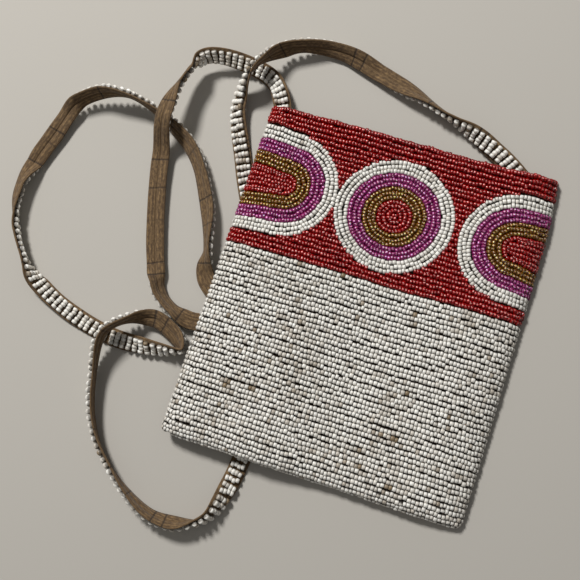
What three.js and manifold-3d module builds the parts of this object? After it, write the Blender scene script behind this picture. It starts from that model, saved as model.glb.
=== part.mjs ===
// A beaded crossbody pouch, lying on its back with its long strap looped beside and under it.
// Two cloth panels make a flat pouch that is open at the mouth. Strings of glass beads are sewn on the
// front in straight rows, cut round three motifs whose rows run in rings, and the strap is one folded
// tape with beads along its face. +X is the pouch's right side, +Y its mouth, +Z its front.
import * as THREE from "three";
import { mergeVertices } from "three/addons/utils/BufferGeometryUtils.js";
import Module from "manifold-3d";

const wasm = await Module();
wasm.setup();

// Driving dimensions in millimetres
const pouchWidth = 138.8; // at the closed end, over the beads
const mouthNarrowing = 2.2; // the mouth is this much narrower
const pouchLength = 157.4;
const cornerRadius = 5;
const clothThickness = 0.8;
const rimHeight = 3.2; // turned edge of the front cloth
const crownHeight = 3.8; // rise of the front from its turned edge to its middle
const sideRoll = 14; // width over which the front rolls down to its sides
const footRoll = 12; // and to its closed end
const clearance = 0.3; // between pieces that touch

// Beadwork
const beadHeight = 2.1; // crest of a row over the cloth
const valleyHeight = 0.6; // thread line between two rows
const edgeBead = 1.2; // beads that stand out past the cloth's edge
const rowPitch = 2.24;
const bandRows = 28; // rows of the band that holds the motifs, under the mouth
const hemDiameter = 2.6; // rolled edge of beads along the mouth
const ringPitch = 2.1; // rows that run round a motif
const rowsPerColour = 3;
const centreMotifX = 2.3;
const centreMotifMargin = 4.3; // straight rows left over and under the centre motif
const sideMotifMargin = 7.3;
const leftMotifGap = 0.4; // from the centre motif
const rightMotifGap = 1.7;

// Strap
const tapeWidth = 8.6;
const tapeThickness = 1.0;
const strapBeadWidth = 6.6; // the beads along its face
const strapBeadHeight = 2.2;
const strapBeadRound = 0.7; // their rounded edge
const strapSeat = 0.4; // room over the strap where the pouch lies on it
const liftHead = -28; // the pouch lies on its strap from here to its left edge
const liftFoot = 12; // and on the surface from here to its right edge

// Sizes that follow from them
const halfLength = pouchLength / 2;
const strapThickness = tapeThickness + strapBeadHeight;
const strapLift = strapThickness + strapSeat;
const bandTop = halfLength - hemDiameter - clearance;
const bandFoot = bandTop - bandRows * rowPitch;
const fieldTop = bandFoot - clearance;
const fieldRows = Math.round((fieldTop + halfLength) / rowPitch);
const bandMiddle = (bandFoot + bandTop) / 2;
const centreMotifRadius = (bandTop - bandFoot) / 2 - centreMotifMargin;
const sideMotifRadius = (bandTop - bandFoot) / 2 - sideMotifMargin;
const motifReach = centreMotifRadius + sideMotifRadius;
const motifs = {
  left: { x: centreMotifX - motifReach - leftMotifGap, radius: sideMotifRadius, side: -1 },
  centre: { x: centreMotifX, radius: centreMotifRadius, side: 0 },
  right: { x: centreMotifX + motifReach + rightMotifGap, radius: sideMotifRadius, side: 1 },
};
const ringWidth = rowsPerColour * ringPitch;
const ringColours = ["white", "magenta", "gold"]; // from the outside in
const cutDepth = 60; // prisms that cut the beadwork reach past it on both sides
const cutMargin = 2; // and blanks reach past their cut
const ringSegments = 24;
const smallRingSegments = 16; // on rings of less than this radius:
const smallRing = 15;
const rollShares = [0, 0.18, 1]; // places on a rolled edge where its facets meet

// Strap route, from the left end sewn inside the mouth to the right one: x, y, roll in degrees about
// its length (0 has the beads up, 90 has them facing left of the way it runs), and the height of its
// lowest edge over the surface
const strapRoute = [
  [-57.5, 57, 0, 4.7],
  [-64, 84, 6, 4.9],
  [-75.5, 95.5, 20, 0],
  [-104.5, 95, 55, 4],
  [-109.5, 86.5, 115, 6],
  [-113.5, 62.5, 167, 11],
  [-112.5, 42.5, 179, 1.2],
  [-99, -5.5, 186, 0],
  [-91, -20.5, 240, 0],
  [-74.5, -27, 180, 0],
  [-57, -20, 180, 0],
  [-73.5, -5.5, 180, 0],
  [-76, 7.5, 243, 0],
  [-84, 29.5, 212, 0],
  [-100.5, 53, 243, 0],
  [-135.5, 68, 270, 2.5],
  [-159.5, 61, 266, 1.5],
  [-169, 39.5, 238, 0],
  [-176, 11, 140, 0],
  [-169.5, -11, 103, 0],
  [-149.5, -32, 14, 0],
  [-108, -45, -4, 0],
  [-72.5, -40.5, -92, 0],
  [-90.5, -30.5, -122, 0.5],
  [-109.5, -42, -93, 6.2],
  [-110, -66, -80, 0.6],
  [-98, -93, -78, 0],
  [-63, -116, -108, 0],
  [-39.5, -109.5, -74, 0],
  [-32.5, -82.5, 0, 0],
  [-34.7, -33, 0, 0],
  [-72.5, 49, 0, 0],
  [-84.5, 78.5, 34, 0],
  [-80.5, 95, 72, 8.2],
  [-68, 110, 90, 2.5],
  [-45, 115, 130, 0],
  [-17.5, 107, 190, 0],
  [8.5, 97.5, 250, 0],
  [39.5, 85, 350, 1],
  [60, 71, 358, 1.2],
];
const stepsPerSpan = 2;

const materials = {
  cloth: new THREE.MeshStandardMaterial({ color: 0x6b4f35, roughness: 0.95, metalness: 0 }),
  white: new THREE.MeshStandardMaterial({ color: 0xd8d4cc, roughness: 0.45, metalness: 0 }),
  red: new THREE.MeshStandardMaterial({ color: 0x8e1414, roughness: 0.25, metalness: 0 }),
  magenta: new THREE.MeshStandardMaterial({ color: 0x9a3b84, roughness: 0.25, metalness: 0 }),
  gold: new THREE.MeshStandardMaterial({ color: 0x7a5414, roughness: 0.25, metalness: 0 }),
  tape: new THREE.MeshStandardMaterial({ color: 0x7a5c3e, roughness: 0.95, metalness: 0 }),
};

// Form of the pouch

// Half the pouch's width over the beads at y.
function halfWidth(y) {
  return (pouchWidth - (mouthNarrowing * (y + halfLength)) / pouchLength) / 2;
}

// Height of the pouch's underside: flat on the surface at the right, raised on the strap at the left.
function lift(x) {
  return strapLift * THREE.MathUtils.clamp((liftFoot - x) / (liftFoot - liftHead), 0, 1);
}

// A rolled edge: 0 at the edge, rising steeply and then gently to 1 where the roll ends.
function rise(fromEdge, roll) {
  const left = 1 - THREE.MathUtils.clamp(fromEdge / roll, 0, 1);
  return Math.sqrt(1 - left ** 3);
}

// Height of the front cloth's outer face.
function frontHeight(x, y) {
  const side = rise(halfWidth(y) - edgeBead - Math.abs(x), sideRoll);
  const foot = rise(y + halfLength - edgeBead, footRoll);
  return lift(x) + rimHeight + crownHeight * side * foot;
}

// Places across the pouch where the front bends, from past its left edge to past its right one.
function widthStations(reach) {
  const right = [reach + cutMargin, ...rollShares.map((share) => reach - edgeBead - share * sideRoll)];
  const left = right.map((x) => -x);
  return [...left, liftHead, liftFoot, ...right].sort((a, b) => a - b);
}

// Places along the pouch where it bends, from past its closed end to the given end.
function lengthStations(end) {
  const foot = -halfLength + edgeBead;
  return [-halfLength - cutMargin, ...rollShares.map((share) => foot + share * footRoll), end];
}

// Solids from geometry

function toSolid(geometry) {
  const bare = new THREE.BufferGeometry();
  bare.setAttribute("position", geometry.getAttribute("position"));
  bare.setIndex(geometry.index);
  const merged = mergeVertices(bare);
  const corners = merged.index.array;
  const kept = [];
  for (let i = 0; i < corners.length; i += 3) {
    const [a, b, c] = corners.slice(i, i + 3);
    if (a !== b && b !== c && c !== a) kept.push(a, b, c);
  }
  const vertProperties = new Float32Array(merged.attributes.position.array);
  return new wasm.Manifold(new wasm.Mesh({ numProp: 3, vertProperties, triVerts: new Uint32Array(kept) }));
}

function toGeometry(solid) {
  const { vertProperties, triVerts } = solid.getMesh();
  const geometry = new THREE.BufferGeometry();
  geometry.setAttribute("position", new THREE.BufferAttribute(new Float32Array(vertProperties), 3));
  geometry.setIndex(new THREE.BufferAttribute(new Uint32Array(triVerts), 1));
  geometry.computeVertexNormals();
  return geometry;
}

// Moves each point of a geometry to where place(point) puts it.
function reshape(geometry, place) {
  const position = geometry.getAttribute("position");
  const point = new THREE.Vector3();
  for (let i = 0; i < position.count; i++) {
    place(point.fromBufferAttribute(position, i));
    position.setXYZ(i, point.x, point.y, point.z);
  }
  return geometry;
}

// Lays flat beadwork, whose underside is at z = 0, on the front cloth.
function layOnFront(geometry) {
  return reshape(geometry, (p) => p.setZ(p.z + frontHeight(p.x, p.y) + clearance));
}

// A block with its own stations along x and y, and its own height of underside and top. The box is made
// on its side and turned, so that its facets split the same way as those of the beadwork over it.
function block(xs, ys, bottom, top) {
  const box = new THREE.BoxGeometry(1, 1, 1, ys.length - 1, xs.length - 1, 1).rotateZ(Math.PI / 2);
  return reshape(box, (p) => {
    const x = xs[Math.round((p.x + 0.5) * (xs.length - 1))];
    const y = ys[Math.round((p.y + 0.5) * (ys.length - 1))];
    p.set(x, y, p.z > 0 ? top(x, y) : bottom(x, y));
  });
}

function prism(shape) {
  const options = { depth: cutDepth, bevelEnabled: false, curveSegments: ringSegments / 4 };
  return toSolid(new THREE.ExtrudeGeometry(shape, options).translate(0, 0, -cutDepth / 2));
}

// The pouch's plan inside its bead edge by inset, with round corners at the closed end.
function pouchPlan(inset, top) {
  const foot = -halfLength + inset;
  const radius = Math.max(cornerRadius - inset, clothThickness);
  const footX = halfWidth(foot) - inset;
  const topX = halfWidth(top) - inset;
  const shape = new THREE.Shape();
  shape.moveTo(-topX, top);
  shape.lineTo(-footX, foot + radius);
  shape.quadraticCurveTo(-footX, foot, -footX + radius, foot);
  shape.lineTo(footX - radius, foot);
  shape.quadraticCurveTo(footX, foot, footX, foot + radius);
  shape.lineTo(topX, top);
  return shape;
}

// The plan of a motif: a circle, or an arch that runs out over the pouch's side.
function motifPlan({ x, side }, radius) {
  const shape = new THREE.Shape();
  const half = (start) => shape.absarc(x, bandMiddle, radius, start, start + Math.PI);
  if (side === 0) {
    half(0);
    half(Math.PI);
    return shape;
  }
  const end = side * (Math.max(pouchWidth / 2, Math.abs(x)) + 2 * cutMargin);
  shape.moveTo(end, bandMiddle + side * radius);
  shape.lineTo(x, bandMiddle + side * radius);
  half((side * Math.PI) / 2);
  shape.lineTo(end, bandMiddle - side * radius);
  return shape;
}

// A path of given points, each with its own directions across and up, for a section to follow.
class Rail extends THREE.Curve {
  constructor(points, across, up) {
    super();
    Object.assign(this, { points, across, up });
  }
  getSpacedPoints() {
    return this.points;
  }
  computeFrenetFrames() {
    return { normals: this.across, binormals: this.up };
  }
}

function sweep(section, rail) {
  return new THREE.ExtrudeGeometry(section, { steps: rail.points.length - 1, extrudePath: rail });
}

// A rail on the z = 0 plane, with each point's direction across it.
function flatRail(points, across) {
  return new Rail(points, across, points.map(() => new THREE.Vector3(0, 0, 1)));
}

// Section of strings of beads laid side by side: round crests, with a thread line between them.
function rowSection(start, end, rows, undersideStations = []) {
  const pitch = (end - start) / rows;
  const crest = [0.28, 0.72];
  const points = [start, ...undersideStations.filter((y) => y > start && y < end), end].map((y) => [y, 0]);
  for (let row = rows; row > 0; row--) {
    points.push([start + row * pitch, valleyHeight]);
    for (const share of [...crest].reverse()) points.push([start + (row - 1 + share) * pitch, beadHeight]);
  }
  points.push([start, valleyHeight]);
  return new THREE.Shape(points.map(([y, z]) => new THREE.Vector2(y, z)));
}

// Beadwork

// Straight rows of beads from start to end, over the whole width.
function rowSheet(start, end, rows) {
  const stations = widthStations(pouchWidth / 2);
  const rail = flatRail(
    stations.map((x) => new THREE.Vector3(x, 0, 0)),
    stations.map(() => new THREE.Vector3(0, 1, 0)),
  );
  return toSolid(layOnFront(sweep(rowSection(start, end, rows, lengthStations(end)), rail)));
}

// Facets round a ring of that radius.
function segmentsRound(radius) {
  return radius < smallRing ? smallRingSegments : ringSegments;
}

// Rows of one colour round the centre motif.
function ringRows({ x }, inner, outer) {
  const section = rowSection(inner, outer, rowsPerColour).getPoints();
  const lathe = new THREE.LatheGeometry([...section, section[0]], segmentsRound(outer));
  return toSolid(layOnFront(lathe.rotateX(Math.PI / 2).translate(x, bandMiddle, 0)));
}

// Rows of one colour along the arch of a side motif, running out over the pouch's side.
function archRows({ x, side }, inner, outer) {
  const edge = Math.max(pouchWidth / 2 - side * x, 0);
  const legs = widthStations(pouchWidth / 2)
    .map((station) => side * (station - x))
    .filter((reach) => reach > 0 && reach < edge + cutMargin);
  const reaches = [...legs, edge + cutMargin].sort((a, b) => b - a);
  const outward = new THREE.Vector3(0, -side, 0);
  const points = reaches.map((reach) => new THREE.Vector3(side * reach, -side * inner, 0));
  const across = reaches.map(() => outward);
  const arcSteps = ringSegments / 2;
  for (let i = 0; i <= arcSteps; i++) {
    const angle = -side * (Math.PI / 2) - (Math.PI * i) / arcSteps;
    const direction = new THREE.Vector3(Math.cos(angle), Math.sin(angle), 0);
    across.push(direction);
    points.push(direction.clone().multiplyScalar(inner));
  }
  for (const reach of reaches.reverse()) {
    points.push(new THREE.Vector3(side * reach, side * inner, 0));
    across.push(outward.clone().negate());
  }
  const arch = sweep(rowSection(0, outer - inner, rowsPerColour), flatRail(points, across));
  return toSolid(layOnFront(arch.translate(x, bandMiddle, 0)));
}

// The round core of the centre motif, its rows running in rings to the middle.
function roundCore({ x }, radius) {
  const rows = Math.round(radius / ringPitch);
  const section = rowSection(0, radius, rows).getPoints();
  const lathe = new THREE.LatheGeometry(section, segmentsRound(radius));
  return toSolid(layOnFront(lathe.rotateX(Math.PI / 2).translate(x, bandMiddle, 0)));
}

// Assembly

const bag = new THREE.Group();

function add(name, geometry, material) {
  const mesh = new THREE.Mesh(geometry, material);
  mesh.name = name;
  bag.add(mesh);
}

// Front cloth: a shallow tray of cloth, turned over at its sides and its closed end
const trayBlank = block(widthStations(pouchWidth / 2), lengthStations(bandTop), lift, frontHeight);
const trayHollow = block(
  widthStations(pouchWidth / 2),
  lengthStations(bandTop + cutMargin),
  (x) => lift(x) - cutMargin,
  (x, y) => frontHeight(x, y) - clothThickness,
);
const hollowPlan = prism(pouchPlan(edgeBead + clothThickness, bandTop + cutMargin));
const tray = toSolid(trayBlank)
  .intersect(prism(pouchPlan(edgeBead, bandTop)))
  .subtract(toSolid(trayHollow).intersect(hollowPlan));
add("front_cloth", toGeometry(tray), materials.cloth);

// Back cloth: a flat panel sewn inside the turned edge of the front
const backInset = edgeBead + clothThickness + clearance;
const backWidth = pouchWidth / 2 - edgeBead;
const backBlank = block(
  [-backWidth, liftHead, liftFoot, backWidth],
  [-halfLength, halfLength - hemDiameter],
  lift,
  (x) => lift(x) + clothThickness,
);
const backCloth = toSolid(backBlank).intersect(prism(pouchPlan(backInset, halfLength - hemDiameter)));
add("back_cloth", toGeometry(backCloth), materials.cloth);

// Straight rows: the plain field, and the band that is cut round the motifs
const outline = prism(pouchPlan(0, halfLength));
const field = rowSheet(-halfLength, fieldTop, fieldRows).intersect(outline);
add("field_beads", toGeometry(field), materials.white);

const bandSheet = rowSheet(bandFoot, bandTop, bandRows).intersect(outline);
let band = bandSheet;
for (const motif of Object.values(motifs)) {
  band = band.subtract(prism(motifPlan(motif, motif.radius + clearance)));
}
add("band_beads", toGeometry(band), materials.red);

// Motifs: three colours of rows from the outside in, round a core
for (const [name, motif] of Object.entries(motifs)) {
  const makeRows = motif.side === 0 ? ringRows : archRows;
  ringColours.forEach((colour, i) => {
    const outer = motif.radius - i * ringWidth;
    const rows = makeRows(motif, outer - ringWidth + clearance, outer).intersect(outline);
    add(`${name}_motif_${colour}`, toGeometry(rows), materials[colour]);
  });
  const coreRadius = motif.radius - ringColours.length * ringWidth;
  const core =
    motif.side === 0 ? roundCore(motif, coreRadius) : bandSheet.intersect(prism(motifPlan(motif, coreRadius)));
  add(`${name}_motif_core`, toGeometry(core), materials.red);
}

// Mouth hem: a rolled edge of beads along the front's mouth
const hemStations = widthStations(pouchWidth / 2);
const hemRail = flatRail(
  hemStations.map((x) => new THREE.Vector3(x, halfLength - hemDiameter / 2, 0)),
  hemStations.map(() => new THREE.Vector3(0, 1, 0)),
);
const hemRound = new THREE.Shape().absarc(0, hemDiameter / 2, hemDiameter / 2, 0, 2 * Math.PI);
const hemSection = new THREE.Shape(hemRound.getPoints(4).slice(0, -1));
const hem = toSolid(layOnFront(sweep(hemSection, hemRail))).intersect(outline);
add("mouth_hem", toGeometry(hem), materials.red);

// Strap

// Value of one column of the route, eased from point to point.
function alongRoute(column, span, share) {
  const eased = share * share * (3 - 2 * share);
  return THREE.MathUtils.lerp(strapRoute[span][column], strapRoute[span + 1][column], eased);
}

// The strap's rail: its middle line, lying with its lowest edge at the route's height, and its roll.
function strapRail() {
  const plan = new THREE.CatmullRomCurve3(strapRoute.map(([x, y]) => new THREE.Vector3(x, y, 0)));
  const spans = strapRoute.length - 1;
  const steps = spans * stepsPerSpan;
  const vertical = new THREE.Vector3(0, 0, 1);
  const points = [];
  const across = [];
  const up = [];
  for (let i = 0; i <= steps; i++) {
    const span = Math.min(Math.floor(i / stepsPerSpan), spans - 1);
    const share = i / stepsPerSpan - span;
    const roll = THREE.MathUtils.degToRad(alongRoute(2, span, share));
    const middle =
      (Math.abs(Math.cos(roll)) * strapThickness) / 2 + (Math.abs(Math.sin(roll)) * tapeWidth) / 2;
    points.push(plan.getPoint(i / steps).setZ(middle + alongRoute(3, span, share)));
    const along = plan.getTangent(i / steps);
    const left = vertical.clone().cross(along);
    const face = vertical.clone().multiplyScalar(Math.cos(roll)).addScaledVector(left, Math.sin(roll));
    up.push(face);
    across.push(face.clone().cross(along));
  }
  return new Rail(points, across, up);
}

// Section of the strap: the folded tape with its beads standing on it.
function strapSection() {
  const back = -strapThickness / 2;
  const face = strapThickness / 2;
  const right = [
    [tapeWidth / 2 - tapeThickness / 2, back],
    [tapeWidth / 2, back + tapeThickness / 2],
    [strapBeadWidth / 2, back + tapeThickness],
    [strapBeadWidth / 2, face - strapBeadRound],
    [strapBeadWidth / 2 - strapBeadRound, face],
  ];
  const left = right.map(([x, y]) => [-x, y]).reverse();
  return new THREE.Shape([...right, ...left].map(([x, y]) => new THREE.Vector2(x, y)));
}

add("strap", sweep(strapSection(), strapRail()), materials.tape);

export default bag;
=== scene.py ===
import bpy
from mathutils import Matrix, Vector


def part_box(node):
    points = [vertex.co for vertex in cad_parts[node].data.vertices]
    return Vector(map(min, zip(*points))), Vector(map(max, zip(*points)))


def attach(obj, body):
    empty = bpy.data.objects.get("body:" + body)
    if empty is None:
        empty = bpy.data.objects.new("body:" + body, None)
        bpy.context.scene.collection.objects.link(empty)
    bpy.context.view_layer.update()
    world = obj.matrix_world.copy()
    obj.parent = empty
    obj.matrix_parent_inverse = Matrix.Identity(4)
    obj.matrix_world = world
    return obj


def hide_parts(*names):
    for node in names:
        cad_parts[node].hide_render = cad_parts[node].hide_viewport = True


bl_info = {
    "name": "Beaded crossbody bag",
    "version": (1, 0, 0),
    "blender": (4, 5, 0),
    "location": "View3D > Sidebar > Bag",
    "description": "Strings the beads of a crossbody pouch and its strap over the packed model",
    "category": "Add Mesh",
}

import math
import random

import bmesh
import bpy
from mathutils import Matrix, Vector, noise

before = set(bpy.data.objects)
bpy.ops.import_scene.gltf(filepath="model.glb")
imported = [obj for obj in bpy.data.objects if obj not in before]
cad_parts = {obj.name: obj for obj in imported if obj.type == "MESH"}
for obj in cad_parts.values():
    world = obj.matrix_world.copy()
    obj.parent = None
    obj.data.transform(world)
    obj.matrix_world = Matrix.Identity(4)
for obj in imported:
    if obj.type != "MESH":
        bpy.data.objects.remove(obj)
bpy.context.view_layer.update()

MM = 0.001

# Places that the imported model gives
FIELD_LOW, FIELD_HIGH = (Vector(corner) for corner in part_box("field_beads"))
BAND_LOW, BAND_HIGH = (Vector(corner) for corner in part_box("band_beads"))
BAND_MIDDLE = (BAND_LOW.y + BAND_HIGH.y) / 2
MOUTH_CORNER = Vector(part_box("mouth_hem")[1])
FOOT_Y = FIELD_LOW.y
MOUTH_Y = MOUTH_CORNER.y
FOOT_HALF_WIDTH = FIELD_HIGH.x
MOUTH_HALF_WIDTH = MOUTH_CORNER.x

# Motifs, with the side that each runs out over, their rings from the outside in, and the straight rows
# inside the side ones: number from the middle, and reach past the turn of the arch in millimetres
MOTIFS = {"left": -1, "centre": 0, "right": 1}
RING_COLOURS = ("white", "magenta", "gold")
RINGS_PER_COLOUR = 3
CENTRE_SQUASH = 0.955
CENTRE_SHIFT = Vector((-0.7, -0.5, 0.0)) * MM
CORE_ROWS = ((-2, -0.6), (-1, 2.4), (0, 3.0), (1, 2.4), (2, -0.6))
CORE_ROW_SHARE = 0.76
CORE_EYE_SHARE = 0.45

# Rows of the rolled hem in millimetres: inset from the mouth, and drop
HEM_ROWS = ((1.75, 0.0), (1.05, 1.9))

# Where the soft pouch gives, in millimetres: bumps of the hem with their rise, the parting legs of the
# side motifs and the lifted upper leg by their distance from the band's middle, and the right side that
# settles
HEM_BUMPS = ((7.0, 0.7), (59.0, 1.1), (66.5, 1.2))
HEM_BUMP_REACH = 4
LEGS_PART_OVER = 5
LEGS_CLOSE_FROM = 6
LEGS_CLOSE_OVER = 26
ARCH_LIFT_PLACE = 24
ARCH_LIFT_REACH = 6
SETTLES_FROM = 48
SETTLES_OVER = 20

# Lengths in millimetres over which soft things waver, some with how much: the front, a row with its
# neighbours and a row alone, each along and across the row, a ring, the hem with its stray in y and z,
# the tape's width, and its ripple along and across
SAG_LENGTH = 34
ROW_DRIFT = (30, 18)
ROW_STRAY = (5, 0.7)
ROW_STRAY_SHARE = 0.5
RING_STRAY = 7
RING_STRAY_SHARE = 0.5
HEM_WAVE = 8
HEM_STRAY = (0.5, 0.3)
TAPE_WIDTH_WAVE = 12
TAPE_WIDTH_SHARE = 0.04
TAPE_RIPPLE = (7, 3)
TAPE_RIPPLE_HEIGHT = 0.16

# Unevenness of hand-strung beads: spacing, length and diameter as shares, stray in millimetres, tilt
# and roll in radians, and for the strap's rows stray and slant
SPACING_SHARES = (0.82, 1.18)
LENGTH_SHARES = (0.95, 1.02)
DIAMETER_SHARES = (0.88, 1.08)
SIDE_STRAY = 0.15
HEIGHT_STRAY = 0.08
BEAD_TILT = 0.05
BEAD_ROLL = 0.22
STRAP_ROW_STRAY = 0.12
STRAP_ROW_SLANT = 0.06

# Field beads are a little larger than the others
FIELD_BEAD_SHARE = 1.03

# How far a string goes down over a side, in millimetres, and the room left under it, in bead radii
SIDE_DROP = 2
SIDE_ROOM = 1.25

# Stains of white beads: patches, smaller patches and blots by their length in millimetres, and how
# strong they are
PATCH_LENGTH = 22
SMALL_PATCH_LENGTH = 5
SMALL_PATCH_SHARE = 0.6
PATCH_STRENGTH = 0.3
BLOT_LENGTH = 3.4
BLOT_START = 0.42
BLOT_STRENGTH = 3
BEAD_STAIN = 0.2

# Starts of the random draws
SEEDS = {"strap": 11, "field": 23, "band": 37, "motifs": 51}

# Camera of the photograph and the soft window: places in metres, the sensor in millimetres, and the
# focal length and the picture's width in pixels
CAMERA_PLACE = (0.0304, -0.0334, 0.3609)
CAMERA_AHEAD = (-0.1755, 0.0911, -0.9802)
CAMERA_UP = (-0.2793, 0.9502, 0.1383)
SENSOR = 36.0
FOCAL_PIXELS = 800
PICTURE_PIXELS = 580
WINDOW_PLACE = (-0.75, 0.7, 1.1)

# Strap route of the CAD model in millimetres: x, y, roll in degrees, height of the lowest edge
STRAP_ROUTE = (
    (-57.5, 57, 0, 4.7),
    (-64, 84, 6, 4.9),
    (-75.5, 95.5, 20, 0),
    (-104.5, 95, 55, 4),
    (-109.5, 86.5, 115, 6),
    (-113.5, 62.5, 167, 11),
    (-112.5, 42.5, 179, 1.2),
    (-99, -5.5, 186, 0),
    (-91, -20.5, 240, 0),
    (-74.5, -27, 180, 0),
    (-57, -20, 180, 0),
    (-73.5, -5.5, 180, 0),
    (-76, 7.5, 243, 0),
    (-84, 29.5, 212, 0),
    (-100.5, 53, 243, 0),
    (-135.5, 68, 270, 2.5),
    (-159.5, 61, 266, 1.5),
    (-169, 39.5, 238, 0),
    (-176, 11, 140, 0),
    (-169.5, -11, 103, 0),
    (-149.5, -32, 14, 0),
    (-108, -45, -4, 0),
    (-72.5, -40.5, -92, 0),
    (-90.5, -30.5, -122, 0.5),
    (-109.5, -42, -93, 6.2),
    (-110, -66, -80, 0.6),
    (-98, -93, -78, 0),
    (-63, -116, -108, 0),
    (-39.5, -109.5, -74, 0),
    (-32.5, -82.5, 0, 0),
    (-34.7, -33, 0, 0),
    (-72.5, 49, 0, 0),
    (-84.5, 78.5, 34, 0),
    (-80.5, 95, 72, 8.2),
    (-68, 110, 90, 2.5),
    (-45, 115, 130, 0),
    (-17.5, 107, 190, 0),
    (8.5, 97.5, 250, 0),
    (39.5, 85, 350, 1),
    (60, 71, 358, 1.2),
)
STEPS_PER_SPAN = 24
STRAP_BEADS_ACROSS = 4

# Where the soft tape turns or rises further than its route: place and reach in spans of the route,
# degrees and millimetres
TAPE_TURNS = (
    (4.0, 0.4, 8, 0),
    (4.4, 0.3, -14, 0),
    (7.5, 0.25, 20, 0),
    (8.6, 0.35, 30, 0),
    (14.0, 0.45, -25, 0),
    (15.1, 0.5, 6, 0),
    (15.3, 0.45, 0, 2.5),
    (15.65, 0.4, -22, 0),
    (16.5, 0.4, -62, 0),
    (17.1, 0.3, -35, 0),
    (19.35, 0.3, 16, 0),
    (19.62, 0.3, 42, 0),
    (22.2, 0.3, -25, 0),
    (22.5, 0.25, -30, 0),
    (22.95, 0.4, -40, 0),
    (23.5, 0.3, 10, 0),
    (26.35, 0.35, 12, 0),
    (27.45, 0.3, -28, 0),
    (33.8, 0.5, 30, 0),
)

# Half section of the folded tape in millimetres: across, and towards its beads. The two flaps of the
# fold meet in a groove down the middle of the back.
TAPE_HALF_SECTION = (
    (0, 0.5),
    (2, 0.5),
    (3.9, 0.46),
    (4.25, 0.2),
    (4.25, -0.2),
    (3.8, -0.46),
    (2.2, -0.52),
    (0.7, -0.5),
    (0.3, -0.3),
    (0, 0),
)


def linear(code):
    """An sRGB hex value as a linear colour."""
    parts = [int(code[i : i + 2], 16) / 255 for i in (1, 3, 5)]
    bent = [c / 12.92 if c <= 0.04045 else ((c + 0.055) / 1.055) ** 2.4 for c in parts]
    return (*bent, 1.0)


def length(name, description, default):
    """A size that a user can change."""
    return bpy.props.FloatProperty(
        name=name, description=description, default=default, unit="LENGTH", precision=5
    )


def colour(name, description, code):
    """A colour that a user can change, from its sRGB hex value."""
    return bpy.props.FloatVectorProperty(
        name=name, description=description, default=linear(code), size=4, subtype="COLOR"
    )


class BagSizes(bpy.types.PropertyGroup):
    """Sizes of the cloth, the beads and the strap."""

    bead_diameter: length("Bead diameter", "Across the thread", 2.12 * MM)
    ring_diameter: length("Ring diameter", "Of the white beads in the motifs", 2.22 * MM)
    lined_diameter: length("Lined diameter", "Of the coloured beads", 2.46 * MM)
    white_pitch: length("White pitch", "From bead to bead on a white string", 1.72 * MM)
    lined_pitch: length("Lined pitch", "From bead to bead on a coloured string", 1.44 * MM)
    row_pitch: length("Row pitch", "From one straight row to the next", 2.24 * MM)
    ring_pitch: length("Ring pitch", "From one ring of a motif to the next", 2.1 * MM)
    corner: length("Corner radius", "Corners at the closed end", 5 * MM)
    rim: length("Rim", "Turned edge of the front cloth", 3.2 * MM)
    crown: length("Crown", "Rise of the front over its rim", 3.8 * MM)
    side_roll: length("Side roll", "Width of the rolled sides", 14 * MM)
    foot_roll: length("Foot roll", "Width of the rolled closed end", 12 * MM)
    lift: length("Lift", "Height of the left side, which lies on the strap", 3.6 * MM)
    lift_head: length("Lift head", "Where the left side is fully lifted", -28 * MM)
    lift_foot: length("Lift foot", "Where the pouch meets the surface", 12 * MM)
    settle: length("Settle", "How much lower the right side's edge lies", 1.7 * MM)
    askew: length("Askew", "How far the mouth lies to the right of the middle", 1.45 * MM)
    mouth_rise: length("Mouth rise", "How far the mouth is drawn up", 0.85 * MM)
    mouth_tilt: length("Mouth tilt", "How much further its left end is", 0.45 * MM)
    tucked_corner: length("Tucked corner", "How far the mouth's right end is drawn in", 2.7 * MM)
    leg_spread: length("Leg spread", "How far the legs of the side motifs part", 2.2 * MM)
    arch_lift: length("Arch lift", "How far the left motif's upper leg is drawn up", 1.6 * MM)
    sag: length("Sag", "Unevenness of the soft front", 0.5 * MM)
    row_wave: length("Row wave", "How far a row strays from its line", 0.42 * MM)
    cloth: length("Cloth thickness", "Of the front and back panels", 0.7 * MM)
    tape_width: length("Tape width", "Width of the strap", 8.6 * MM)
    tape_thickness: length("Tape thickness", "Of the folded tape", 1.0 * MM)
    strap_thickness: length("Strap thickness", "Tape and beads together", 3.2 * MM)
    strap_row_pitch: length("Strap row pitch", "From one row of strap beads to the next", 3.2 * MM)
    strap_bead_diameter: length("Strap bead diameter", "Of the beads on the strap", 2.5 * MM)
    strap_bead_pitch: length("Strap bead pitch", "From bead to bead across the strap", 1.64 * MM)


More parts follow.
